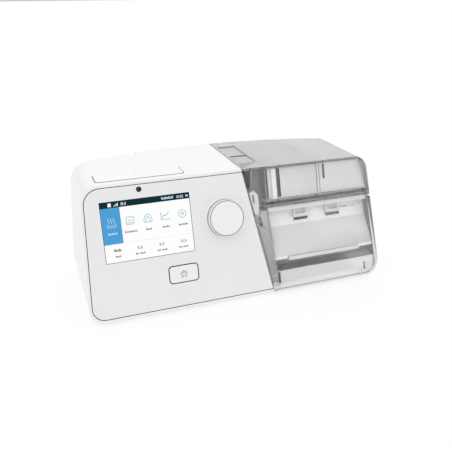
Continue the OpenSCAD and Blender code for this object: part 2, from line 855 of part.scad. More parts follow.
module tank_tub() color([0.8, 0.85, 0.88, 0.4]) {
    difference() {
        union() {
            difference() {
                tank_solid(0, 0.4, parting_z);
                tub_front_space();
                tub_water_space();
                tongue_space();
                // room for the base plate, open to the rear so that the tank draws forward
                translate([-far / 2, base_front_y - 1.4, -5])
                    cube([far / 2 + base_right_x + gap, far, tank_floor_z + 5]);
                translate([heater_low[0] - 3, heater_low[1] - 3, tank_floor_z - 1])
                    cube([heater_size[0] + 6, heater_size[1] + 6, 2]);
                translate([heater_low[0] + 1, heater_low[1] + 1, tank_floor_z])
                    cube([heater_size[0] - 2, heater_size[1] - 2, 6]);
            }
            for (x = clip_x) clip_catch(x);
            lip_bead();
            tub_knuckle();
        }
        hinge_bore(pin_r + 0.05);
    }
}

// Wedge on the tub's upper band, just below each clip, over the slot that frees it from the mould
module clip_catch(x) {
    high = clip_bar_z - 1.9;
    through_x([[recessed_y(catch_z, band_recess + 0.5), catch_z], [recessed_y(catch_z, band_recess - 2), catch_z],
               [recessed_y(high, band_recess - 0.6), high], [recessed_y(high, band_recess + 0.5), high]],
              x + catch_shift, x + clip_w + catch_shift);
}

module hinge_bore(r) {
    translate([hinge_x[0] - 5, hinge_y, hinge_z]) rotate([0, 90, 0])
        cylinder(r = r, h = hinge_x[1] - hinge_x[0] + 10);
}

module hinge_barrel(x0, x1) {
    translate([x0, hinge_y, hinge_z]) rotate([0, 90, 0]) cylinder(r = hinge_r, h = x1 - x0);
}

// Middle knuckle of the lid hinge, with an arm to the tub's rear wall
module tub_knuckle() {
    hinge_barrel(hinge_x[0] + 10.3, hinge_x[1] - 10.3);
    translate([hinge_x[0] + 10.3, 119.5, parting_z - 8])
        cube([hinge_x[1] - hinge_x[0] - 20.6, hinge_y - 119.5 + 1.4, 7.2]);
}

module tank_heat_plate() color("silver") {
    translate([heater_low[0] - 2.8, heater_low[1] - 2.8, tank_floor_z])
        cube([heater_size[0] + 5.6, heater_size[1] + 5.6, 1]);
}

// Springy tongue in the front of the pillar that locks the tank in its dock
module tank_lock_tongue() color([0.85, 0.88, 0.9, 0.5]) {
    left = seam_x(tongue_low_z) + 1.6;
    intersection() {
        front_layer(0.4, 0.4 + tongue_t);
        difference() {
            through_y([[left, tongue_low_z], [tongue_right_x, tongue_low_z], [tongue_right_x, tongue_high_z - 3.6],
                       [left + 0.4, tongue_high_z], [seam_x(tongue_high_z) + 1.6, tongue_high_z - 2],
                       [left - 0.8, parting_z]]);
            through_y([[13.1, 77.8], [15, 77.8], [15, 84], [14.2, 84.9], [13.1, 84.9]]);
        }
    }
}

// Recess in front of the chambers, and the deeper bay beside the seam that the tongue stands in
module lid_front_space() {
    high = casing_h - lid_top_t;
    intersection() {
        front_layer(-5, lid_recess);
        through_y(rounded([[bay_right_x, flange_high_z], [right_x(flange_high_z) - rim_w, flange_high_z],
                           [right_x(casing_h) - 8, high], [bay_right_x, high]], [0, 0, 3, 0]));
    }
    intersection() {
        front_layer(-5, bay_recess);
        difference() {
            through_y([[seam_x(flange_high_z) + clear_wall, flange_high_z], [bay_right_x, flange_high_z],
                       [bay_right_x, high], [seam_x(high) + clear_wall, high]]);
            translate([14, recessed_y(casing_h, 0.8), tongue_high_z + 1.5]) cube([1.5, 40, 40]);
        }
    }
    intersection() {
        front_layer(-5, bay_recess);
        translate([-5, 0, lid_low_z - 1]) cube([bay_right_x + 3, 60, flange_high_z + 1.5 - lid_low_z]);
    }
    intersection() {
        front_layer(-5, 6);
        translate([-5, 0, lid_low_z - 1]) cube([bay_right_x + 3, 60, tongue_high_z + 2 - lid_low_z]);
    }
}

module lid_walls() {
    translate([bay_right_x, 0, 0]) cube([2.7, 200, 200]);
    translate([chamber_left_x - 1.2, 0, 0]) cube([1.2, 200, 200]);
    translate([mid_wall_x, 0, 0]) cube([1.6, 200, 200]);
    translate([mid_wall_x + 5.8, 0, 90]) cube([2, recessed_y(100, 9), 200]);
    for (y = [45, 70, 102]) translate([0, y, 0]) cube([bay_right_x + 1, 1.5, 200]);
}

module lid_inside() {
    difference() {
        intersection() {
            tank_solid(clear_wall, lid_low_z - 5, casing_h - lid_top_t);
            union() {
                behind_front(rim_inner);
                intersection() {
                    behind_front(lid_recess + clear_wall);
                    translate([bay_right_x, -50, flange_high_z]) cube([far, far, far]);
                }
            }
        }
        lid_walls();
    }
}

// Skirt that hangs in front of the tub's upper band
module lid_skirt() {
    intersection() {
        front_layer(skirt_recess, band_recess - 0.4);
        through_y(pocket_outline(0.4, skirt_low_z, lid_low_z + 1));
    }
}

module tank_lid() color([0.8, 0.85, 0.88, 0.4]) {
    difference() {
        union() {
            difference() {
                tank_solid(0, lid_low_z, casing_h);
                lid_inside();
                lid_front_space();
                for (y = [inlet_y, outlet_y]) intersection() {
                    port_cutter(y, port_r);
                    cube([20, 200, 200]);
                }
                // air passages from the two side chambers into the main chamber
                for (x = [bay_right_x - 1, chamber_left_x - 2]) {
                    translate([x, 52, 80]) cube([5, 14, 14]);
                    translate([x, 80, 80]) cube([5, 16, 14]);
                }
                translate([mid_wall_x - 1, 45, lid_low_z - 1]) cube([4, 50, 18]);
                for (w = windows_y) translate([9, w[0], casing_h - 0.8]) cube([16.5, w[1] - w[0], 5]);
            }
            lid_skirt();
            front_box(bay_rib_x, bay_rib_x + bay_rib_w, flange_high_z - 1, casing_h - lid_top_t + 1,
                      lid_recess - 0.5, lid_recess + clear_wall);
            for (x = [hinge_x[0], hinge_x[1] - 10]) lid_knuckle(x);
        }
        for (g = flange_grooves) front_box(g[0], g[1], lid_low_z + g[2], lid_low_z + g[3], -5, 0.5);
        for (g = window_grooves) front_box(g[0], g[1], g[2], g[3], -5, lid_recess + 0.4);
        hinge_bore(pin_r + 0.05);
        for (x = clip_x) clip_pocket(x);
    }
}

module lid_knuckle(x) {
    hinge_barrel(x, x + 10);
    translate([x, 116, lid_low_z]) cube([10, hinge_y - 116, 3]);
}

// A ring that follows the rim of the tub, by its recess behind the front plane
module rim_solid(i, front, low, high) {
    intersection() {
        through_y(tank_outline(i, low, high));
        behind_front(front);
        ahead_of_rear(i);
    }
}

module lid_seal() color("white") {
    difference() {
        rim_solid(0.6, bay_recess + 0.4, lid_low_z - seal_t, lid_low_z);
        rim_solid(2.2, bay_recess + 2.2, lid_low_z - seal_t - 1, lid_low_z + 1);
    }
}

// Inner chamber that hangs from the lid and turns the air down over the water
module lid_air_guide() color([0.85, 0.88, 0.9, 0.5]) {
    x0 = chamber_left_x + 3;
    x1 = mid_wall_x - 1.5;
    z0 = lid_low_z + 3;
    high = casing_h - lid_top_t - z0;
    difference() {
        translate([x0, 44, z0]) cube([x1 - x0, 54, high]);
        translate([x0 + 1.5, 45.5, z0 - 1]) cube([x1 - x0 - 3, 51, high + 2]);
        translate([x0 - 5, 52, 80]) cube([10, 14, 14]);
        translate([x0 - 5, 80, 80]) cube([10, 14, 14]);
    }
}

module lid_hinge_pin() color("silver") {
    translate([hinge_x[0] + 0.2, hinge_y, hinge_z]) rotate([0, 90, 0])
        cylinder(r = pin_r, h = hinge_x[1] - hinge_x[0] - 0.4);
}

clip_y = recessed_y(clip_z, clip_recess);

// Pocket in the underside of the skirt that holds a clip's rod and leaves room for its arms to swing
module clip_pocket(x) {
    translate([x - 0.3, recessed_y(skirt_low_z, 3.6), skirt_low_z - 1]) cube([clip_w + 0.6, 5.5, 4.1]);
    translate([x - 1.7, clip_y, clip_z]) rotate([0, 90, 0]) cylinder(r = clip_rod_r + 0.05, h = clip_w + 3.4);
}

// U-shaped clip: pivot rod, two arms and a cross bar
module lid_clip(x) {
    low = clip_bar_z - 1.3;
    high = clip_bar_z + 1.3;
    translate([x - 1.5, clip_y, clip_z]) rotate([0, 90, 0]) cylinder(r = clip_rod_r, h = clip_w + 3);
    for (dx = [0, clip_w - 2]) translate([x + dx, clip_y, clip_z]) rotate([0, 90, 0]) cylinder(r = 1.1, h = 2);
    for (dx = [0, clip_w - 2]) through_x(
        [[clip_y - 0.8, clip_z], [clip_y + 0.8, clip_z],
         [recessed_y(low, clip_recess + 0.8), low], [recessed_y(low, clip_recess - 0.8), low]], x + dx, x + dx + 2);
    through_x([[recessed_y(low, clip_recess - 1), low], [recessed_y(low, clip_recess + 2.4), low],
               [recessed_y(high, clip_recess + 1.2), high], [recessed_y(high, clip_recess - 1), high]], x, x + clip_w);
}

module lid_clip_left() color([0.85, 0.88, 0.9, 0.5]) {
    lid_clip(clip_x[0]);
}

module lid_clip_right() color([0.85, 0.88, 0.9, 0.5]) {
    lid_clip(clip_x[1]);
}

place() {
    housing_shell();
    base_plate();
    front_panel();
    display_window();
    lcd_module();
    light_sensor_lens();
    knob_collar();
    encoder_body();
    main_board();
    board_components();
    home_switch();
    start_switch_board();
    speaker();
    blower_lower_case();
    blower_upper_case();
    motor_stator();
    motor_bearings();
    blower_mounts();
    intake_muffler();
    muffler_foam();
    air_filter();
    blower_duct();
    return_duct();
    flow_sensor();
    air_outlet();
    inlet_gasket();
    outlet_gasket();
    heater_plate();
    heater_insulator();
    dc_inlet();
    sd_socket();
    rubber_feet();
    base_screws();
    board_screws();
    control_knob();
    encoder_shaft();
    encoder_plunger();
    home_button();
    start_button();
    impeller();
    motor_rotor();
    filter_door();
    sd_card();
    tank_tub();
    tank_heat_plate();
    tank_lock_tongue();
    tank_lid();
    lid_seal();
    lid_air_guide();
    lid_hinge_pin();
    lid_clip_left();
    lid_clip_right();
}
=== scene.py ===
"""Looks of the bedside ventilator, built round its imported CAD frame.

Everything is in metres in the row frame, apart from outlines and profiles, which are in millimetres."""

import json
import math

import bmesh
import bpy
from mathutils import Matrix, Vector
from mathutils.bvhtree import BVHTree


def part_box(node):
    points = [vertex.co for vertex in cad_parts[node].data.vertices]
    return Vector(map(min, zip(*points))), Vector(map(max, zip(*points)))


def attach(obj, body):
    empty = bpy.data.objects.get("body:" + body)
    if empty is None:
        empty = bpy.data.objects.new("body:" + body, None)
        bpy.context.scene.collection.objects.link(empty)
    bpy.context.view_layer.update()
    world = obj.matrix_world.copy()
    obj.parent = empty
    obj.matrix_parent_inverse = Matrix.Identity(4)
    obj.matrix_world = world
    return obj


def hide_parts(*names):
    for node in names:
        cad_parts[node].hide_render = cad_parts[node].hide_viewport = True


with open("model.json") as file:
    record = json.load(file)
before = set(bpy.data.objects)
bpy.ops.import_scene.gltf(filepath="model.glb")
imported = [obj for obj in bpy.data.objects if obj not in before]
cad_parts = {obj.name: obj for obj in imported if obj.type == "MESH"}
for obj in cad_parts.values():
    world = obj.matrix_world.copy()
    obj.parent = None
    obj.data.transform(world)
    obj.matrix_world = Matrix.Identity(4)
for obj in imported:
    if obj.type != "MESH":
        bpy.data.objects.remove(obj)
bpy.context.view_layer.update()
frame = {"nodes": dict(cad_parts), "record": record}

MM = 0.001
FRONT = Vector((0, -1, 0.3)).normalized()
UP = Vector((0, 0, 1))
DOWN = Vector((0, 0, -1))
REAR = Vector((0, 1, 0))
nodes = frame["nodes"]
scene = bpy.context.scene


# ---------------------------------------------------------------- camera and studio


def make_camera():
    data = bpy.data.cameras.new("camera")
    data.lens = 44.94
    data.sensor_width = 36
    camera = bpy.data.objects.new("camera", data)
    camera.location = (-0.16559, -0.46642, 0.25698)
    camera.rotation_euler = (math.radians(66.45), 0, math.radians(-20.31))
    scene.collection.objects.link(camera)
    scene.camera = camera


class Tree:
    """Short helpers round one material's or world's node tree."""

    def __init__(self, tree):
        self.tree = tree
        tree.nodes.clear()

    def add(self, kind, inputs=None, **settings):
        node = self.tree.nodes.new(kind)
        for key, value in settings.items():
            setattr(node, key, value)
        for key, value in (inputs or {}).items():
            if isinstance(value, bpy.types.NodeSocket):
                self.tree.links.new(value, node.inputs[key])
            else:
                node.inputs[key].default_value = value
        return node

    def place(self, scale=(1, 1, 1)):
        where = self.add("ShaderNodeTexCoord").outputs["Object"]
        return self.add("ShaderNodeMapping", {"Vector": where, "Scale": scale}).outputs["Vector"]

    def noise(self, scale, detail=2.0, stretch=(1, 1, 1)):
        return self.add("ShaderNodeTexNoise", {"Vector": self.place(stretch), "Scale": scale,
                                               "Detail": detail}).outputs["Fac"]

    def cells(self, scale):
        return self.add("ShaderNodeTexVoronoi", {"Vector": self.place(), "Scale": scale}).outputs["Distance"]

    def spread(self, value, low, high, from_low=0.2, from_high=0.8):
        return self.add("ShaderNodeMapRange", {"Value": value, "From Min": from_low, "From Max": from_high,
                                               "To Min": low, "To Max": high}).outputs["Result"]

    def blend(self, value, first, second):
        node = self.add("ShaderNodeMix", data_type="RGBA")
        self.tree.links.new(value, node.inputs["Factor"])
        node.inputs["A"].default_value = (*first, 1)
        node.inputs["B"].default_value = (*second, 1)
        return node.outputs["Result"]

    def bump(self, height, strength, distance, normal=None):
        inputs = {"Height": height, "Strength": strength, "Distance": distance}
        if normal:
            inputs["Normal"] = normal
        return self.add("ShaderNodeBump", inputs).outputs["Normal"]


def make_world():
    """Pale studio: grey towards the horizon and white overhead."""
    world = bpy.data.worlds.new("studio")
    world.use_nodes = True
    scene.world = world
    t = Tree(world.node_tree)
    up = t.add("ShaderNodeSeparateXYZ", {"Vector": t.add("ShaderNodeTexCoord").outputs["Generated"]})
    height = t.add("ShaderNodeMapRange", {"Value": up.outputs["Z"], "From Min": -0.05, "From Max": 0.9,
                                          "To Min": 0.6, "To Max": 1.32}, interpolation_type="SMOOTHSTEP")
    back = t.add("ShaderNodeBackground", {"Color": (1, 1, 1, 1), "Strength": height.outputs["Result"]})
    t.add("ShaderNodeOutputWorld", {"Surface": back.outputs["Background"]})
    scene.view_settings.view_transform = "Standard"


def make_floor():
    mesh = bpy.data.meshes.new("floor")
    mesh.from_pydata([(-8, -8, 0), (8, -8, 0), (8, 8, 0), (-8, 8, 0)], [], [(0, 1, 2, 3)])
    floor = bpy.data.objects.new("floor", mesh)
    scene.collection.objects.link(floor)
    material = bpy.data.materials.new("floor")
    material.use_nodes = True
    t = Tree(material.node_tree)
    paper = t.add("ShaderNodeBsdfDiffuse", {"Color": (0.92, 0.92, 0.92, 1)})
    glow = t.add("ShaderNodeEmission", {"Color": (1, 1, 1, 1), "Strength": 1.0})
    both = t.add("ShaderNodeMixShader", {"Fac": 0.8, 1: paper.outputs["BSDF"], 2: glow.outputs["Emission"]})
    t.add("ShaderNodeOutputMaterial", {"Surface": both.outputs["Shader"]})
    mesh.materials.append(material)


# ---------------------------------------------------------------- materials


def new_material(name):
    material = bpy.data.materials.new(name)
    material.use_nodes = True
    return material, Tree(material.node_tree)


def finish_material(t, inputs):
    shader = t.add("ShaderNodeBsdfPrincipled", inputs)
    t.add("ShaderNodeOutputMaterial", {"Surface": shader.outputs["BSDF"]})


def moulded(name, colour, roughness, grain=0.25, coat=0.0):
    """Moulded plastic: slightly uneven colour and gloss, faint sink waves and a fine grain."""
    material, t = new_material(name)
    wave = t.bump(t.noise(25, 1), 0.15, 0.0002)
    finish_material(t, {
        "Base Color": t.blend(t.spread(t.noise(14, 3), 0, 1), colour, tuple(c * 0.975 for c in colour)),
        "Roughness": t.spread(t.noise(60, 4), roughness * 0.85, roughness * 1.15),
        "Normal": t.bump(t.noise(4500, 2), grain, 0.00003, wave),
        "Coat Weight": coat, "Coat Roughness": 0.08, "IOR": 1.5})
    return material


def metal(name, colour, roughness, stretch=(1, 40, 1)):
    """Metal with fine brushed lines."""
    material, t = new_material(name)
    lines = t.noise(160, 6, stretch)
    finish_material(t, {
        "Base Color": t.blend(t.spread(t.noise(50, 3), 0, 1), colour, tuple(c * 0.85 for c in colour)),
        "Metallic": 1.0, "Roughness": t.spread(lines, roughness * 0.7, roughness * 1.3),
        "Normal": t.bump(lines, 0.2, 0.00005)})
    return material


def clear(name, colour, roughness, through, flow=0.1):
    """Clear plastic with faint flow lines; through is the share of light that isn't scattered."""
    material, t = new_material(name)
    finish_material(t, {
        "Base Color": t.blend(t.spread(t.noise(30, 2), 0, 1), colour, tuple(c * 0.98 for c in colour)),
        "Transmission Weight": through, "IOR": 1.5,
        "Roughness": t.spread(t.noise(70, 3), roughness * 0.7, roughness * 1.4),
        "Normal": t.bump(t.noise(18, 1.5), flow, 0.0004)})
    return material


def porous(name, colour, scale, depth):
    """Foam or felt: open cells or fibres as deep bump and mottled colour."""
    material, t = new_material(name)
    cells = t.cells(scale)
    finish_material(t, {
        "Base Color": t.blend(t.spread(cells, 0, 1, 0.0, 0.8), tuple(c * 0.6 for c in colour), colour),
        "Roughness": 0.95, "Sheen Weight": 0.2, "Normal": t.bump(cells, 0.8, depth)})
    return material


def lit(name, colour):
    """Backlit display colour with a faint grid of picture dots."""
    material, t = new_material(name)
    dots = t.add("ShaderNodeTexChecker", {"Vector": t.place(), "Scale": 6000}).outputs["Fac"]
    tint = t.blend(dots, colour, tuple(c * 0.96 for c in colour))
    finish_material(t, {"Base Color": (0.0, 0.0, 0.0, 1), "Roughness": t.spread(t.noise(60, 3), 0.12, 0.18),
                        "Specular IOR Level": 0.1, "Emission Color": tint, "Emission Strength": 1.0})
    return material


def printed(name, colour):
    """Screen-printed ink: matte, with slightly uneven cover."""
    return moulded(name, colour, 0.55, grain=0.5)


MATERIALS = {
    "white_casing": moulded("white_casing", (0.85, 0.85, 0.85), 0.32, coat=0.15),
    "panel_white": moulded("panel_white", (0.82, 0.82, 0.82), 0.36),
    "button_white": moulded("button_white", (0.86, 0.86, 0.86), 0.3),
    "black_glass": moulded("black_glass", (0.01, 0.012, 0.014), 0.08, grain=0.0, coat=1.0),
    "display_panel": moulded("display_panel", (0.02, 0.03, 0.035), 0.3),
    "black_plastic": moulded("black_plastic", (0.02, 0.02, 0.022), 0.5, grain=0.5),
    "circuit_board": moulded("circuit_board", (0.02, 0.14, 0.06), 0.35),
    "inner_plastic": moulded("inner_plastic", (0.45, 0.46, 0.47), 0.5, grain=0.5),
    "copper_winding": metal("copper_winding", (0.75, 0.36, 0.2), 0.3, (1, 1, 60)),
    "bright_steel": metal("bright_steel", (0.62, 0.62, 0.63), 0.22),
    "plate_aluminium": metal("plate_aluminium", (0.75, 0.76, 0.77), 0.3),
    "gray_rubber": moulded("gray_rubber", (0.06, 0.06, 0.063), 0.75, grain=0.8),
    "white_silicone": moulded("white_silicone", (0.72, 0.73, 0.74), 0.5),
    "dark_foam": porous("dark_foam", (0.05, 0.05, 0.055), 900, 0.0006),
    "filter_felt": porous("filter_felt", (0.7, 0.7, 0.68), 2200, 0.0003),
    "clear_plastic": clear("clear_plastic", (0.97, 0.972, 0.975), 0.03, 1.0),
    "clear_clip": clear("clear_clip", (0.97, 0.972, 0.975), 0.12, 0.4),
}
FROSTED = clear("frosted_plastic", (0.99, 0.99, 0.992), 0.5, 0.8, flow=0.2)
SATIN = clear("satin_plastic", (0.98, 0.982, 0.985), 0.18, 0.4)  # the broad outer faces
PALE_HIGHLIGHT = clear("pale_highlight_plastic", (0.98, 0.982, 0.985), 0.25, 0.15)  # painted highlight: the band, the lip and the bay's rib made whiter than the rest
HAZE = clear("hazy_plastic", (0.98, 0.98, 0.982), 0.1, 0.75)  # the pillar beside the seam
EDGE_SHADE = clear("edge_shade_plastic", (0.26, 0.265, 0.27), 0.15, 0.6)  # painted shade: a dark tint on thin faces seen along the sheet, on grooves and slots
RECESS_SHADE = clear("recess_shade_plastic", (0.66, 0.665, 0.67), 0.14, 0.6)  # painted shade on recessed faces: clip slots, finger grip and bay
SHEER = clear("sheer_plastic", (0.93, 0.932, 0.935), 0.16, 0.6)  # the lid's top
# painted shadow on the walls and edges of the gaps round the panel and buttons, and in the notch
SHADOW_GAP = moulded("shadow_gap", (0.03, 0.03, 0.03), 0.7)
CASING_EDGE_SHADE = moulded("casing_edge_shade", (0.62, 0.62, 0.62), 0.4)  # painted shade on the casing's rounded edges
# painted shade: a darker copy of the knob's white for the side of its rim
KNOB_SIDE_SHADE = moulded("knob_side_shade", (0.74, 0.74, 0.74), 0.4)
INK_GRAY = printed("ink_gray", (0.33, 0.33, 0.33))
INK_PALE = printed("ink_pale", (0.66, 0.66, 0.66))
INK_BLUE = printed("ink_blue", (0.08, 0.25, 0.5))
INK_STEEL = printed("ink_steel", (0.3, 0.38, 0.46))
INK_CARD = printed("ink_card", (0.55, 0.58, 0.62))
# painted shade in the knob's groove and under its rim
KNOB_DARK_SHADE = moulded("knob_dark_shade", (0.08, 0.08, 0.08), 0.3)
GOLD = metal("gold_contact", (0.85, 0.62, 0.25), 0.25)

# The darker edge finishes are painted shade: they widen the dark lines round the panel and buttons and darken the
# rounded edges of the casing and the tank.
SOFT_EDGES = (  # CAD node, width of its rounded edges in millimetres, their finish
    ("base_plate", 0.3, None), ("air_outlet", 0.3, None), ("filter_door", 0.2, None),
    ("lid_clip_left", 0.2, None), ("lid_clip_right", 0.2, None), ("housing_shell", 0.5, CASING_EDGE_SHADE),
    ("front_panel", 0.2, SHADOW_GAP), ("home_button", 0.25, SHADOW_GAP), ("start_button", 0.7, SHADOW_GAP),
    ("tank_tub", 0.3, EDGE_SHADE), ("tank_lid", 0.3, EDGE_SHADE))


# ---------------------------------------------------------------- CAD nodes


def dress_frame():
    """Gives every CAD node the finish that the record names."""
    for part in frame["record"]["subparts"]:
        mesh = nodes[part["node"]].data
        mesh.materials.clear()
        mesh.materials.append(MATERIALS[part["material_slot"]])
        for face in mesh.polygons:
            face.material_index = 0


def paint_faces(node, material, wanted):
    """A second finish on the faces of a CAD node for which wanted(face) is true."""
    mesh = nodes[node].data
    mesh.materials.append(material)
    index = len(mesh.materials) - 1
    for face in mesh.polygons:
        if wanted(face):
            face.material_index = index


def soften(node, width, edge=None, segments=2, angle=32):
    """Small round edges on a CAD node, by modifiers only, with their own finish if edge is given; the darker edge
    finishes are painted shade.
    """
    obj = nodes[node]
    weld = obj.modifiers.new("weld", "WELD")
    weld.merge_threshold = 2e-6
    flat = obj.modifiers.new("flat", "DECIMATE")
    flat.decimate_type = "DISSOLVE"
    flat.angle_limit = math.radians(0.2)
    flat.delimit = {"NORMAL", "MATERIAL"}
    bevel = obj.modifiers.new("bevel", "BEVEL")
    bevel.width = width * MM
    bevel.segments = segments
    bevel.limit_method = "ANGLE"
    bevel.angle_limit = math.radians(angle)
    bevel.use_clamp_overlap = True
    if edge:
        if edge.name not in obj.data.materials:
            obj.data.materials.append(edge)
        bevel.material = obj.data.materials.find(edge.name)
    normals = obj.modifiers.new("normals", "WEIGHTED_NORMAL")
    normals.keep_sharp = True


def directions(count):
    """Evenly spread directions over a ball."""
    golden = math.pi * (3 - math.sqrt(5))
    for i in range(count):
        z = 1 - 2 * (i + 0.5) / count
        r = math.sqrt(1 - z * z)
        yield Vector((r * math.cos(golden * i), r * math.sin(golden * i), z))


def frost_inside(shells, material, rays=48, shut=0.12):
    """Frosts the faces that look into the closed space inside the shells."""
    verts, faces = [], []
    for node in shells:
        mesh = nodes[node].data
        first = len(verts)
        verts += [v.co.copy() for v in mesh.vertices]
        faces += [tuple(first + i for i in face.vertices) for face in mesh.polygons]
    tree = BVHTree.FromPolygons(verts, faces)
    fan = list(directions(rays))

    def hidden(face):
        start = face.center + face.normal * 0.05 * MM
        looks = [d for d in fan if d.dot(face.normal) > 0.1]
        free = sum(tree.ray_cast(start, d)[0] is None for d in looks)
        return free < shut * len(looks)

    for node in shells[:2]:
        paint_faces(node, material, hidden)


def part_face(front, face):
    """How a face lies: its tilt to the front plane, its recess behind it and its middle, in millimetres."""
    away = (face.center - front.origin) / MM
    return face.normal.dot(front.out), -away.dot(front.out), face.center.x / MM, face.center.z / MM


def tone_tank():
    """Finishes of the clear parts: satin broad faces, a painted highlight on the band and lip, painted shade on
    thin edges and recesses.
    A rule gets a face's tilt to the front plane, its recess, its middle's x and z, and its normal."""
    front = face_plane("front_panel", FRONT)
    lid_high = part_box("tank_lid")[1].z / MM
    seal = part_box("lid_seal")[1].z / MM
    ramp_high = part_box("lid_clip_left")[0].z / MM - 9
    pillar = 30  # the tub's pillar and the lid's bay beside the seam lie left of this

    def paint(node, material, rule):
        paint_faces(node, material, lambda face: rule(*part_face(front, face), face.normal))

    for node in ("tank_tub", "tank_lid"):
        unfrosted = {face.index for face in nodes[node].data.polygons if face.material_index == 0}
        paint_faces(node, SATIN, lambda face: face.index in unfrosted and (
            max(face.normal.x, face.normal.y) > 0.8 or face.normal.x > 0.2 and face.center.x > 110 * MM))

    paint("tank_tub", SATIN, lambda out, deep, x, z, n: out > 0.9 and deep < 8.5 and z < ramp_high and x > pillar)
    # Painted highlight on the band above the ramp, then on the lip's upper edge and the ends of its bead
    paint("tank_tub", PALE_HIGHLIGHT, lambda out, deep, x, z, n: out > 0.99 and 7.8 < deep < 8.6 and z > ramp_high)
    paint("tank_tub", PALE_HIGHLIGHT, lambda out, deep, x, z, n: (
        out > 0.9 and 1 < deep < 2.3 and 25 < z < 32 and x > pillar
        or abs(n.x) > 0.3 and deep < 1.2 and 25 < z < 30 and 30 < x < 120))
    paint("tank_tub", HAZE, lambda out, deep, x, z, n: out > 0.99 and deep < 0.3 and x < pillar)
    # Painted shade on the sides of the pillar, the slots in the lower face and the inner sides of the right and
    # bottom rims
    paint("tank_tub", EDGE_SHADE, lambda out, deep, x, z, n: (
        abs(n.x) > 0.9 and 27 < x < 33 and 0 < deep < 9
        or out > 0.99 and 2 < deep < 2.6 and z < 20
        or n.x < -0.9 and x > 118 and deep < 12
        or n.z > 0.9 and z < 6 and x > pillar and deep < 9))
    # Painted shade in the slots under the clips, then on the back and the ceiling of the finger grip
    paint("tank_tub", RECESS_SHADE, lambda out, deep, x, z, n: (
        out > 0.99 and 9 < deep < 9.6 and 55 < z < 63
        or 9 < deep < 13 and 20 < z < 30 and x > pillar
        or n.z < -0.9 and deep < 13 and 20 < z < 30))

    paint("tank_lid", SATIN, lambda out, deep, x, z, n: out > 0.99 and 1.5 < deep < 2.6)
    paint("tank_lid", SHEER, lambda out, deep, x, z, n: n.z > 0.95 and z > lid_high - 3)
    # Painted highlight on the rib beside the bay, then painted shade in the bay beside the seam
    paint("tank_lid", PALE_HIGHLIGHT, lambda out, deep, x, z, n: out > 0.99 and 1.5 < deep < 2 and x > pillar and z > seal)
    paint("tank_lid", RECESS_SHADE, lambda out, deep, x, z, n: x < pillar and 0.3 < deep < 12 and z > seal)
    # Painted shade on the grooves in the flange and the window, the window's upper edge, sides of the rib beside
    # the bay, low steps on the lid's top and sides of the window's right grooves
    paint("tank_lid", EDGE_SHADE, lambda out, deep, x, z, n: (
        out > 0.99 and 0.3 < deep < 0.7
        or out > 0.99 and 2.6 < deep < 2.8
        or n.z < -0.8 and deep < 2.3 and z > 100
        or abs(n.x) > 0.9 and 32 < x < 43 and deep < 9
        or abs(n.z) < 0.3 and z > lid_high - 1.2 and x < 28 and deep > 20
        or abs(n.x) > 0.9 and 76 < x < 88 and deep < 12))


def paint_gap_shade():
    """Painted shade on the walls in the notch at the top rear and in the gaps round the front panel and the two
    buttons.
    """
    for node in ("front_panel", "home_button"):
        paint_faces(node, SHADOW_GAP, lambda face: abs(face.normal.dot(FRONT)) < 0.3)
    paint_faces("start_button", SHADOW_GAP, lambda face: abs(face.normal.z) < 0.3)
    front = face_plane("front_panel", FRONT)
    notch_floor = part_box("housing_shell")[1].z / MM - 2

    def walls(face):
        out, deep, x, z = part_face(front, face)
        inward = face.normal.dot(front.origin - face.center) > 0
        above = z - notch_floor
        in_notch = abs(above) < 0.05 and face.normal.z > 0.999 or 0 < above < 2 and abs(face.normal.x) > 0.999
        return abs(out) < 0.1 and -0.5 < deep < 4 and x < 30 and inward or in_notch

    paint_faces("housing_shell", SHADOW_GAP, walls)


# ---------------------------------------------------------------- shapes


def rounded(points, radii, steps=5):
    """The closed outline with its corners rounded by circle arcs."""
    if not isinstance(radii, (list, tuple)):
        radii = [radii] * len(points)
    result = []
    for i, radius in enumerate(radii):
        before, here, after = (Vector(points[(i + k) % len(points)]) for k in (-1, 0, 1))
        if radius <= 0:
            result.append(tuple(here))
            continue
        u = (before - here).normalized()
        v = (after - here).normalized()
        half = u.angle(v) / 2
        middle = here + (u + v).normalized() * radius / math.sin(half)
        start = here + u * radius / math.tan(half) - middle
        end = here + v * radius / math.tan(half) - middle
        sweep = math.pi - 2 * half
        for k in range(steps + 1):
            a = sweep * k / steps
            result.append(tuple(middle + (start * math.sin(sweep - a) + end * math.sin(a)) / math.sin(sweep)))
    return result


def rectangle(x, y, width, height, radius=0.0):
    w, h = width / 2, height / 2
    return rounded([(x - w, y - h), (x + w, y - h), (x + w, y + h), (x - w, y + h)], radius)


def arc(x, y, radius, start, end, steps=24):
    """Points on a circle from one angle to another, in degrees."""
    turn = [math.radians(start + (end - start) * i / steps) for i in range(steps + 1)]
    return [(x + radius * math.cos(a), y + radius * math.sin(a)) for a in turn]


class Plane:
    """A drawing plane: across runs to the right, up runs up the face and out leaves it."""

    def __init__(self, origin, out):
        self.origin = origin
        self.out = out.normalized()
        self.across = (Vector((1, 0, 0)) - self.out * self.out.x).normalized()
        self.up = self.out.cross(self.across)

    def at(self, x, y, z=0.0):
        return self.origin + (self.across * x + self.up * y + self.out * z) * MM

    def moved(self, x, y, z=0.0):
        return Plane(self.at(x, y, z), self.out)

    def over(self, x, z):
        """Where the plane holds the point with that world x and z, as across and up."""
        y = (z - self.origin.z) / self.up.z / MM
        return (x - self.origin.x) / MM, y


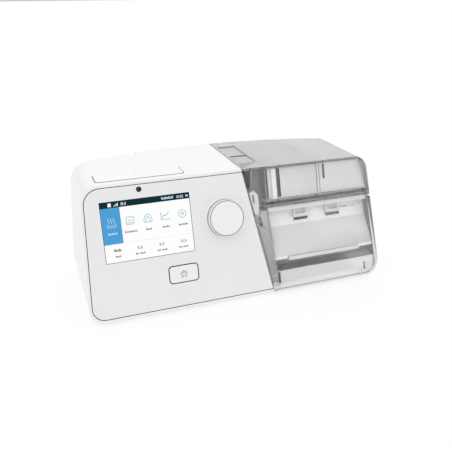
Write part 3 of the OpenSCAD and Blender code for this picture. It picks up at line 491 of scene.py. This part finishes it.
def face_plane(node, toward, inside=None):
    """The plane on the largest flat face of a CAD node that looks that way, centred on the face.
    Its width and height are in millimetres; inside is a box that the face has to lie in."""
    mesh = nodes[node].data
    low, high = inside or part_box(node)

    def fits(face):
        return face.normal.dot(toward) > 0.8 and all(
            a - MM <= c <= b + MM for a, c, b in zip(low, face.center, high))

    seed = max(filter(fits, mesh.polygons), key=lambda face: face.area)
    plane = Plane(seed.center.copy(), seed.normal.copy())
    level = [f for f in mesh.polygons if f.normal.dot(plane.out) > 0.9999
             and abs((f.center - plane.origin).dot(plane.out)) < 0.02 * MM]
    corners = [mesh.vertices[i].co - plane.origin for f in level for i in f.vertices]
    xs = [c.dot(plane.across) / MM for c in corners]
    ys = [c.dot(plane.up) / MM for c in corners]
    plane.origin = plane.at((min(xs) + max(xs)) / 2, (min(ys) + max(ys)) / 2)
    plane.width = max(xs) - min(xs)
    plane.height = max(ys) - min(ys)
    return plane


class Piece:
    """Collects closed solids into one mesh, each with its own material."""

    def __init__(self, name):
        self.name = name
        self.mesh = bmesh.new()
        self.materials = []

    def _face(self, corners, material, smooth=False):
        if material not in self.materials:
            self.materials.append(material)
        face = self.mesh.faces.new(corners)
        face.material_index = self.materials.index(material)
        face.smooth = smooth

    def slab(self, plane, outline, low, high, material):
        """A plate with that outline, from low to high out of the plane."""
        top = [self.mesh.verts.new(plane.at(x, y, high)) for x, y in outline]
        bottom = [self.mesh.verts.new(plane.at(x, y, low)) for x, y in outline]
        self._face(top, material)
        self._face(bottom[::-1], material)
        for i in range(len(top)):
            k = (i + 1) % len(top)
            self._face((top[i], bottom[i], bottom[k], top[k]), material)

    def stroke(self, plane, points, width, low, high, material, closed=False):
        """A line of that width along the points."""
        count = len(points)
        rows = []
        for i in range(count):
            before = Vector(points[i - 1] if i or closed else points[0])
            after = Vector(points[(i + 1) % count] if i < count - 1 or closed else points[-1])
            here = Vector(points[i])
            u = (here - before).normalized() if (here - before).length else (after - here).normalized()
            v = (after - here).normalized() if (after - here).length else u
            along = (u + v).normalized()
            side = Vector((-along.y, along.x)) * width / 2 / max(along.dot(u), 0.35)
            rows.append([self.mesh.verts.new(plane.at(*(here + side * s), z))
                         for s, z in ((1, high), (-1, high), (-1, low), (1, low))])
        for i in range(count if closed else count - 1):
            first, second = rows[i], rows[(i + 1) % count]
            for k in range(4):
                self._face((first[k], first[(k + 1) % 4], second[(k + 1) % 4], second[k]), material)
        if not closed:
            self._face(rows[0][::-1], material)
            self._face(rows[-1], material)

    def lathe(self, plane, profile, material, segments=72, accents=None):
        """A turned solid from (radius, height) pairs; a profile that starts and ends on the axis is closed.
        accents maps the number of a profile step to another material."""
        rings = []
        for radius, height in profile:
            if radius < 1e-6:
                rings.append([self.mesh.verts.new(plane.at(0, 0, height))])
            else:
                turn = [2 * math.pi * i / segments for i in range(segments)]
                rings.append([self.mesh.verts.new(plane.at(radius * math.cos(a), radius * math.sin(a), height))
                              for a in turn])
        on_axis = len(rings[0]) == 1
        steps = len(rings) - 1 if on_axis else len(rings)
        for n in range(steps):
            first, second = rings[n], rings[(n + 1) % len(rings)]
            finish = (accents or {}).get(n, material)
            for i in range(segments):
                k = (i + 1) % segments
                ring = [first[i % len(first)], first[k % len(first)],
                        second[k % len(second)], second[i % len(second)]]
                self._face(list(dict.fromkeys(ring)), finish, smooth=True)

    def finish(self, body, slot=None, replaces=(), smooth_angle=None):
        bmesh.ops.recalc_face_normals(self.mesh, faces=self.mesh.faces)
        data = bpy.data.meshes.new(self.name)
        self.mesh.to_mesh(data)
        self.mesh.free()
        for material in self.materials:
            data.materials.append(material)
        if smooth_angle:
            data.set_sharp_from_angle(angle=math.radians(smooth_angle))
        obj = bpy.data.objects.new(self.name, data)
        scene.collection.objects.link(obj)
        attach(obj, body)
        if replaces:
            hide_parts(*replaces)
        return obj


# ---------------------------------------------------------------- display

STATUS_H = 4.7  # the dark bar along the top of the picture
TILE_W = 15.3  # the chosen menu tile at the left
MENU_LOW = -9.5  # the line between the menu and the values below it, from the picture's middle
PRINT = (0.04, 0.06)  # low and high side of what is drawn on a layer below it
INK = (0.005, 0.03)  # low and high side of what is printed straight on a face

DIGIT_BARS = {  # bars of a numeral: middle, top, top right, low right, bottom, low left, top left
    "0": (1, 2, 3, 4, 5, 6), "1": (2, 3), "2": (1, 2, 0, 5, 4), "3": (1, 2, 0, 3, 4), "4": (6, 0, 2, 3),
    "5": (1, 6, 0, 3, 4), "6": (1, 6, 0, 3, 4, 5), "8": (0, 1, 2, 3, 4, 5, 6)}


def numeral(piece, plane, digit, x, y, height, material):
    """One numeral of straight bars, or a point or colon, with its left foot at x, y."""
    w, h, t = height * 0.52, height, height * 0.16
    if digit == ".":
        piece.slab(plane, rectangle(x + t / 2, y + t / 2, t, t), *PRINT, material)
        return
    if digit == ":":
        for k in (0.3, 0.7):
            piece.slab(plane, rectangle(x + t / 2, y + h * k, t, t), *PRINT, material)
        return
    bars = [(w / 2, h / 2, w, t), (w / 2, h - t / 2, w, t), (w - t / 2, h * 0.75, t, h / 2),
            (w - t / 2, h * 0.25, t, h / 2), (w / 2, t / 2, w, t), (t / 2, h * 0.25, t, h / 2),
            (t / 2, h * 0.75, t, h / 2)]
    for k in DIGIT_BARS[digit]:
        bx, by, bw, bh = bars[k]
        piece.slab(plane, rectangle(x + bx, y + by, bw, bh), *PRINT, material)


def value(piece, plane, digits, x, y, height, material):
    """A row of numerals centred on x, y."""
    widths = [height * 0.36 if d in ".:" else height * 0.7 for d in digits]
    left = x - (sum(widths) - height * 0.18) / 2
    for digit, width in zip(digits, widths):
        numeral(piece, plane, digit, left, y - height / 2, height, material)
        left += width


def caption(piece, plane, widths, x, y, height, material):
    """A word drawn as a row of plain ticks, centred on x, y."""
    space = 0.28
    left = x - (sum(widths) + space * (len(widths) - 1)) / 2
    for i, width in enumerate(widths):
        tall = height * (1.0 if i % 3 else 1.35)
        piece.slab(plane, rectangle(left + width / 2, y + (tall - height) / 2, width, tall), *PRINT, material)
        left += width + space


def steam_icon(piece, plane, x, y, material):
    """Three wisps of steam over a tray."""
    for dx in (-2.2, 0, 2.2):
        wisp = [(x + dx + 0.45 * math.sin(k / 12 * 2 * math.pi), y - 0.6 + 4.2 * k / 12) for k in range(13)]
        piece.stroke(plane, wisp, 0.38, *PRINT, material)
    tray = [(x - 3.4, y - 1.2), (x - 3.4, y - 3)] + arc(x - 2.6, y - 3, 0.8, 180, 270, 5)[1:] \
        + arc(x + 2.6, y - 3, 0.8, 270, 360, 5) + [(x + 3.4, y - 1.2)]
    piece.stroke(plane, tray, 0.36, *PRINT, material)
    piece.slab(plane, rectangle(x, y - 2.3, 5.2, 0.36), *PRINT, material)


def cushion_icon(piece, plane, x, y, material):
    """A square with a round knob at each corner and a bar inside."""
    outline = []
    for k in range(64):
        a = 2 * math.pi * k / 64
        r = 3.3 - 0.55 * math.cos(4 * a) + 0.25 * math.cos(8 * a)
        outline.append((x + r * math.cos(a), y + r * math.sin(a)))
    piece.stroke(plane, outline, 0.45, *PRINT, material, closed=True)
    piece.slab(plane, rectangle(x, y + 0.1, 2.6, 0.5), *PRINT, material)
    piece.stroke(plane, [(x - 2.4, y - 1.7), (x + 2.4, y - 1.7)], 0.4, *PRINT, material)


def mask_icon(piece, plane, x, y, material):
    """A nasal mask from the front: a bell with its port."""
    bell = [(x - 3.0, y - 3.1), (x - 3.5, y - 1.2), (x - 2.4, y + 1.0), (x - 1.7, y + 2.6), (x, y + 3.6),
            (x + 1.7, y + 2.6), (x + 2.4, y + 1.0), (x + 3.5, y - 1.2), (x + 3.0, y - 3.1)]
    bell = rounded(bell, [0.8, 1, 1.2, 0.8, 1, 0.8, 1.2, 1, 0.8], 3)
    piece.stroke(plane, bell, 0.45, *PRINT, material, closed=True)
    port = [(x - 1.6, y - 3.0)] + arc(x, y - 1.2, 1.6, 180, 0, 10) + [(x + 1.6, y - 3.0)]
    piece.stroke(plane, port, 0.42, *PRINT, material)
    piece.stroke(plane, [(x - 0.8, y + 1.4), (x + 0.8, y + 1.4)], 0.4, *PRINT, material)


def chart_icon(piece, plane, x, y, material):
    """Two axes and a rising line."""
    piece.stroke(plane, [(x - 3.6, y + 3.4), (x - 3.6, y - 3), (x + 3.8, y - 3)], 0.45, *PRINT, material)
    line = [(x - 3.0, y - 1.6), (x - 1.0, y + 0.8), (x + 0.2, y - 0.1), (x + 3.2, y + 2.9)]
    piece.stroke(plane, line, 0.45, *PRINT, material)


def settings_icon(piece, plane, x, y, material):
    """A hexagon with a cross bar in its hub."""
    corners = [(x + 3.5 * math.cos(math.radians(a)), y + 3.5 * math.sin(math.radians(a)))
               for a in range(30, 390, 60)]
    piece.stroke(plane, rounded(corners, 0.7), 0.45, *PRINT, material, closed=True)
    piece.stroke(plane, arc(x, y, 1.2, 0, 345, 23), 0.4, *PRINT, material, closed=True)
    piece.slab(plane, rectangle(x, y, 1.2, 0.4), *PRINT, material)


def make_display():
    """The lit picture: status bar, menu of five tiles and a row of four values."""
    plane = face_plane("display_window", FRONT)
    w, h = plane.width - 0.3, plane.height - 0.3
    white = lit("screen_white", (1.0, 1.0, 1.0))
    bar = lit("screen_bar", (0.0, 0.024, 0.03))
    blue = lit("screen_blue", (0.075, 0.35, 0.68))
    teal = lit("screen_teal", (0.12, 0.42, 0.56))
    gray = lit("screen_gray", (0.16, 0.16, 0.17))
    pale = lit("screen_pale", (0.75, 0.76, 0.77))
    sky = lit("screen_sky", (0.62, 0.8, 0.93))
    top, left = h / 2, -w / 2
    picture = Piece("display_picture")
    picture.slab(plane, rectangle(0, 0, w, h), 0.01, 0.03, white)
    ink = plane.moved(0, 0, -0.01)
    picture.slab(ink, rectangle(0, top - STATUS_H / 2, w, STATUS_H), *PRINT, bar)
    tile_h = top - STATUS_H - MENU_LOW
    picture.slab(ink, rectangle(left + TILE_W / 2, MENU_LOW + tile_h / 2, TILE_W, tile_h), *PRINT, blue)
    picture.slab(ink, rectangle(left + TILE_W + (w - TILE_W) / 2, MENU_LOW, w - TILE_W, 0.25), *PRINT, pale)

    marks = ink.moved(0, 0, 0.02)
    line = top - STATUS_H / 2
    card = [(left + 6.3, line - 1.5), (left + 8.9, line - 1.5), (left + 8.9, line + 1.5),
            (left + 7.1, line + 1.5), (left + 6.3, line + 0.8)]
    picture.slab(marks, card, *PRINT, white)
    for k in range(4):
        picture.slab(marks, rectangle(left + 11.2 + k * 1.0, line - 1.3 + (k + 1) * 0.32, 0.6, (k + 1) * 0.64),
                     *PRINT, white)
    value(picture, marks, "10.2", left + 18.4, line, 2.1, white)
    value(picture, marks, "12:02", w / 2 - 8.2, line, 2.1, sky)
    caption(picture, marks, [0.9, 0.8], w / 2 - 1.9, line, 1.3, sky)
    caption(picture, marks, [0.8, 0.8, 0.8, 0.8, 0.4, 0.8, 0.8, 0.4, 0.8, 0.8], w / 2 - 18.4, line, 1.5, sky)

    icon_y = 7.8
    label_y = -1.2
    steam_icon(picture, marks, left + TILE_W / 2, icon_y, sky)
    caption(picture, marks, [0.9, 0.7, 0.8, 0.9, 0.6, 0.8, 0.7], left + TILE_W / 2, label_y, 1.1, sky)
    icons = (cushion_icon, mask_icon, chart_icon, settings_icon)
    labels = ([0.9, 0.6, 0.6, 0.7, 0.6, 0.7, 0.8, 0.5, 0.5, 0.7, 0.6], [1.1, 0.9, 0.8, 0.9],
              [0.9, 0.8, 0.8, 0.9, 0.6, 0.5], [0.8, 0.8, 0.6, 0.6, 0.5, 0.9, 0.9, 0.6])
    column = (w - TILE_W) / 4
    for i, (icon, label) in enumerate(zip(icons, labels)):
        x = left + TILE_W + column * (i + 0.5)
        icon(picture, marks, x, icon_y, teal)
        caption(picture, marks, label, x, label_y, 1.15, gray)
    value_y = MENU_LOW - 5.4
    unit_y = MENU_LOW - 10.3
    for i, digits in enumerate((None, "6.0", "8.0", "15.0")):
        x = left + w * (0.137 + 0.247 * i)
        if digits:
            value(picture, marks, digits, x, value_y, 2.4, gray)
            caption(picture, marks, [0.9, 0.4, 0.8], x - 2.6, unit_y, 1.1, gray)
            caption(picture, marks, [0.8, 0.8, 0.8, 0.8], x + 1.8, unit_y, 1.1, gray)
        else:
            caption(picture, marks, [1.1, 0.8, 0.7, 0.9, 1.0], x, value_y, 1.7, gray)
            caption(picture, marks, [1.0, 0.8, 0.8, 0.7], x, unit_y, 1.1, gray)
    picture.finish("casing", slot="display_panel")


# ---------------------------------------------------------------- buttons, knob and prints


def make_home_symbol():
    """A small house: its roof line over the outline of its walls."""
    plane = face_plane("home_button", FRONT)
    symbol = Piece("home_symbol")
    symbol.stroke(plane, [(-3.1, 0.0), (0, 2.7), (3.1, 0.0)], 0.6, *INK, INK_GRAY)
    body = [(-2.1, -0.4), (-2.1, -2.8), (-0.7, -2.8), (-0.7, -1.2), (0.7, -1.2), (0.7, -2.8), (2.1, -2.8),
            (2.1, -0.4), (0, 1.4)]
    symbol.stroke(plane, body, 0.5, *INK, INK_GRAY, closed=True)
    symbol.finish("home_key", slot="black_plastic")


def make_start_symbol():
    """The usual sign for standby: an open ring with a bar in its gap."""
    plane = face_plane("start_button", UP)
    symbol = Piece("start_symbol")
    symbol.stroke(plane, arc(0, 0, 3.2, 120, 420), 0.5, *INK, INK_PALE)
    symbol.stroke(plane, [(0, 0.6), (0, 4.0)], 0.5, *INK, INK_PALE)
    symbol.finish("start_key", slot="black_plastic")


def make_knob():
    """Turned knob: dished face, a groove near its edge painted dark as shade, a softly rounded rim with painted
    shade on its side, and a hollow back.
    """
    plane = face_plane("control_knob", FRONT)
    radius = plane.width / 2
    deep = 5.2
    profile = [(0, -0.35), (radius - 5, -0.3), (radius - 1.8, -0.05), (radius - 1.3, -0.05),
               (radius - 1.3, -0.5), (radius - 0.75, -0.5), (radius - 0.75, -0.02)]
    profile += [(radius - 0.55 + 0.55 * math.sin(a), -0.55 + 0.55 * math.cos(a))
                for a in (math.radians(15 * k) for k in range(0, 7))]
    profile += [(radius - 0.15, -deep + 0.35), (radius - 0.4, -deep), (radius - 2.2, -deep),
                (radius - 2.4, -1.6), (5.2, -1.6), (5.0, -deep + 0.4), (0, -deep + 0.4)]
    knob = Piece("knob_turned")
    # Painted shade: the groove and the rim's underside near-black, the rim's outer side a darker grey than the
    # face
    accents = {3: KNOB_DARK_SHADE, 4: KNOB_DARK_SHADE, 5: KNOB_DARK_SHADE, 12: KNOB_SIDE_SHADE, 13: KNOB_SIDE_SHADE, 14: KNOB_SIDE_SHADE,
               15: KNOB_DARK_SHADE}
    knob.lathe(plane, profile, MATERIALS["button_white"], 128, accents)
    knob.finish("knob", slot="button_white", replaces=("control_knob",), smooth_angle=40)


def make_sensor():
    """Domed sensor window with a ring inside."""
    plane = face_plane("light_sensor_lens", FRONT)
    radius = plane.width / 2
    glass = moulded("sensor_glass", (0.004, 0.004, 0.005), 0.3, grain=0.0)
    sensor = Piece("sensor_window")
    profile = [(0, -0.05), (radius * 0.35, -0.1), (radius * 0.42, -0.25), (radius * 0.55, -0.22),
               (radius * 0.72, -0.02), (radius * 0.92, -0.03), (radius, -0.2), (radius, -3), (0, -3)]
    sensor.lathe(plane, profile, glass, 48, {2: MATERIALS["black_plastic"]})
    sensor.finish("casing", slot="black_glass", replaces=("light_sensor_lens",), smooth_angle=50)


def make_level_mark():
    """The blue fill line on the tub's band, with four short ticks beside it."""
    low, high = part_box("lid_clip_right")
    band = face_plane("tank_tub", FRONT, (Vector((low.x - 80 * MM, low.y, low.z - 6 * MM)), high))
    x, y = band.over(high.x, low.z + 1.8 * MM)
    mark = Piece("level_mark")
    mark.slab(band, rectangle(x + 5.2, y, 8.6, 0.8), *INK, INK_BLUE)
    for k, width in enumerate((1.0, 0.7, 1.3, 0.9)):
        mark.slab(band, rectangle(x + 12.6 + 1.6 * k, y, width, 0.7), *INK, INK_STEEL)
    mark.finish("tank", slot="black_plastic")


def islands(node):
    """The low and high corners of each separate solid in a CAD node."""
    mesh = bmesh.new()
    mesh.from_mesh(nodes[node].data)
    bmesh.ops.remove_doubles(mesh, verts=mesh.verts, dist=MM / 100)
    left = set(mesh.verts)
    boxes = []
    while left:
        found, queue = [], [left.pop()]
        while queue:
            vert = queue.pop()
            found.append(vert.co.copy())
            near = {edge.other_vert(vert) for edge in vert.link_edges} & left
            left -= near
            queue += near
        boxes.append(tuple(Vector([pick(v[k] for v in found) for k in range(3)]) for pick in (min, max)))
    mesh.free()
    return sorted(boxes, key=lambda box: tuple(box[0]))


def make_feet():
    """Turned rubber feet with a round shoulder and two rings in the sole."""
    feet = Piece("rubber_feet_turned")
    rubber = MATERIALS["gray_rubber"]
    for low, high in islands("rubber_feet"):
        sole = Plane(Vector(((low.x + high.x) / 2, (low.y + high.y) / 2, low.z)), DOWN)
        r = (high.x - low.x) / 2 / MM
        tall = (high.z - low.z) / MM
        profile = [(0, -0.6), (r - 4.2, -0.6), (r - 3.9, -0.05), (r - 3.3, 0), (r - 2.7, -0.05),
                   (r - 2.5, -0.5), (r - 2.0, -0.5), (r - 1.8, -0.05), (r - 1.0, 0), (r - 0.3, -0.25),
                   (r, -0.9), (r, -tall), (0, -tall)]
        feet.lathe(sole, profile, rubber, 64)
    feet.finish("casing", slot="gray_rubber", replaces=("rubber_feet",), smooth_angle=50)


def make_screws():
    """Turned screws under the base, with a cross recess in the head and a threaded shank."""
    screws = Piece("base_screws_turned")
    steel = MATERIALS["bright_steel"]
    deep, core, cross = 0.6, 1.2, 0.35
    for low, high in islands("base_screws"):
        head = Plane(Vector(((low.x + high.x) / 2, (low.y + high.y) / 2, low.z)), DOWN)
        r = (high.x - low.x) / 2 / MM
        tall = (high.z - low.z) / MM
        profile = [(0, -deep), (r, -deep), (r, -1.2), (core, -1.2)]
        for k in range(5):
            profile += [(core + 0.25, -1.55 - 0.5 * k), (core, -1.8 - 0.5 * k)]
        screws.lathe(head, profile + [(core, -tall + 0.3), (core - 0.3, -tall), (0, -tall)], steel, 32)
        g = math.degrees(math.asin(cross / (r - 0.1)))
        for turn in range(4):
            sector = [(cross, cross)] + arc(0, 0, r - 0.1, g, 90 - g, 8)
            a = math.radians(90 * turn)
            screws.slab(head, [(x * math.cos(a) - y * math.sin(a), x * math.sin(a) + y * math.cos(a))
                               for x, y in sector], -deep - 0.02, 0, steel)
    screws.finish("casing", slot="bright_steel", replaces=("base_screws",), smooth_angle=40)


def make_socket_contacts():
    """Centre pin and outer sleeve of the power socket."""
    low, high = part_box("dc_inlet")
    middle = Vector(((low.x + high.x) / 2, high.y, high.z - 6 * MM))
    mouth = Plane(middle, REAR)
    steel = MATERIALS["bright_steel"]
    contacts = Piece("socket_contacts")
    contacts.lathe(mouth, [(0, -2.2), (0.5, -2.25), (1.05, -2.9), (1.05, -11.3), (0, -11.3)], steel, 32)
    contacts.lathe(mouth, [(3.05, -3), (3.18, -3), (3.18, -11.3), (3.05, -11.3)], steel, 48)
    contacts.finish("casing", slot="bright_steel", smooth_angle=40)


def make_card_contacts():
    """Nine gold contacts, a pale label and finger ribs on the memory card."""
    low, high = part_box("sd_card")
    width = (high.x - low.x) / MM
    length = (high.y - low.y) / MM
    top = Plane(Vector(((low.x + high.x) / 2, (low.y + high.y) / 2, high.z)), UP)
    under = Plane(Vector(((low.x + high.x) / 2, (low.y + high.y) / 2, low.z)), DOWN)
    card = Piece("card_details")
    card.slab(top, rectangle(0, 1.5, width - 4, length - 10, 1), 0.005, 0.04, INK_CARD)
    for k in range(4):
        rib = rectangle(0, length / 2 - 1.2 - 0.7 * k, width - 6, 0.35)
        card.slab(top, rib, -0.02, 0.12, MATERIALS["black_plastic"])
    for k in range(9):
        card.slab(under, rectangle(-width / 2 + 3 + 2.25 * k, length / 2 - 3, 1.5, 4, 0.2), 0.005, 0.04, GOLD)
    card.finish("memory_card", slot="black_plastic")


make_camera()
make_world()
make_floor()
dress_frame()
frost_inside(["tank_tub", "tank_lid", "tank_heat_plate", "lid_seal"], FROSTED)
tone_tank()
paint_gap_shade()
for node, width, edge in SOFT_EDGES:
    soften(node, width, edge)
make_display()
make_home_symbol()
make_start_symbol()
make_knob()
make_sensor()
make_level_mark()
make_feet()
make_screws()
make_socket_contacts()
make_card_contacts()
